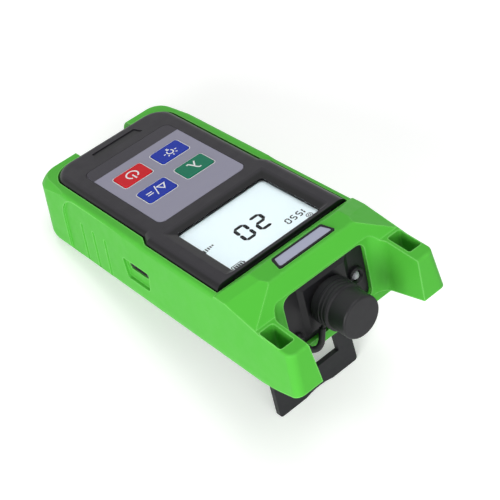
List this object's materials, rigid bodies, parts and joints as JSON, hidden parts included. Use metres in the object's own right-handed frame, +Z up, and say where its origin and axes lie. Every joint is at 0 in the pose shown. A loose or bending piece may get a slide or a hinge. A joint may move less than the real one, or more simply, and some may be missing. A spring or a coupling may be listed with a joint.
{
  "type": "optical power meter",
  "caption": "Hand-held fibre optic power meter in a soft boot, with display, keypad, capped optical port, torch, charging port and fold-out stand.",
  "frame": {"origin": "centre of the footprint on the table, under the meter standing on its open stand", "axes": "+Y towards the optical port, raised by the stand; +X to the user's right; +Z up"},
  "size_m": [0.0582, 0.1292, 0.0634],
  "materials": {
    "boot_rubber": "satin",
    "case_plastic": "fine texture",
    "panel_plastic": "satin",
    "keypad_film": "satin",
    "key_red": "satin",
    "key_blue": "satin",
    "key_green": "satin",
    "window_clear": "clear",
    "lcd": "satin",
    "foam": "matte",
    "badge_black": "gloss",
    "badge_lavender": "satin",
    "steel": "brushed",
    "nickel": "nickel plated",
    "board": "solder mask",
    "cell_wrap": "film wrapped",
    "cap_rubber": "matte",
    "stand_plastic": "fine texture",
    "led_clear": "clear"
  },
  "bodies": {
    "meter": {"boot": "boot_rubber", "front_cover": "case_plastic", "rear_cover": "case_plastic", "connector_panel": "panel_plastic", "case_screws": "steel", "keypad_overlay": "keypad_film", "key_domes": "steel", "display_window": "window_clear", "display_gasket": "foam", "lcd_module": "lcd", "badge_frame": "badge_black", "badge_plate": "badge_lavender", "main_board": "board", "battery_cell": "cell_wrap", "usb_socket": "steel", "port_adapter": "nickel", "port_nut": "nickel", "detector": "steel", "cap_tether": "cap_rubber", "torch_led": "led_clear", "torch_bezel": "panel_plastic", "stand_pin": "steel"},
    "stand": {"kickstand": "stand_plastic"},
    "cap": {"dust_cap": "cap_rubber"},
    "key_1": {"key_power": "key_red"},
    "key_2": {"key_lamp": "key_blue"},
    "key_3": {"key_reference": "key_blue"},
    "key_4": {"key_wavelength": "key_green"}
  },
  "joints": [
    {"name": "stand_hinge", "type": "hinge", "parent": "meter", "child": "stand", "pos_m": [0, 0.0332, 0.03286], "axis": [1, 0, 0], "range_deg": [-91.6, 0]},
    {"name": "cap_slide", "type": "slide", "parent": "meter", "child": "cap", "axis": [0, 0.9425, 0.3343], "range_m": [0, 0.012], "deforming": ["cap_tether"]},
    {"name": "power_key_press", "type": "slide", "parent": "meter", "child": "key_1", "axis": [0, 0.3343, -0.9425], "range_m": [0, 0.0004], "stiffness_N_per_m": 100, "springref_m": -0.003},
    {"name": "lamp_key_press", "type": "slide", "parent": "meter", "child": "key_2", "axis": [0, 0.3343, -0.9425], "range_m": [0, 0.0004], "stiffness_N_per_m": 100, "springref_m": -0.003},
    {"name": "reference_key_press", "type": "slide", "parent": "meter", "child": "key_3", "axis": [0, 0.3343, -0.9425], "range_m": [0, 0.0004], "stiffness_N_per_m": 100, "springref_m": -0.003},
    {"name": "wavelength_key_press", "type": "slide", "parent": "meter", "child": "key_4", "axis": [0, 0.3343, -0.9425], "range_m": [0, 0.0004], "stiffness_N_per_m": 100, "springref_m": -0.003}
  ]
}
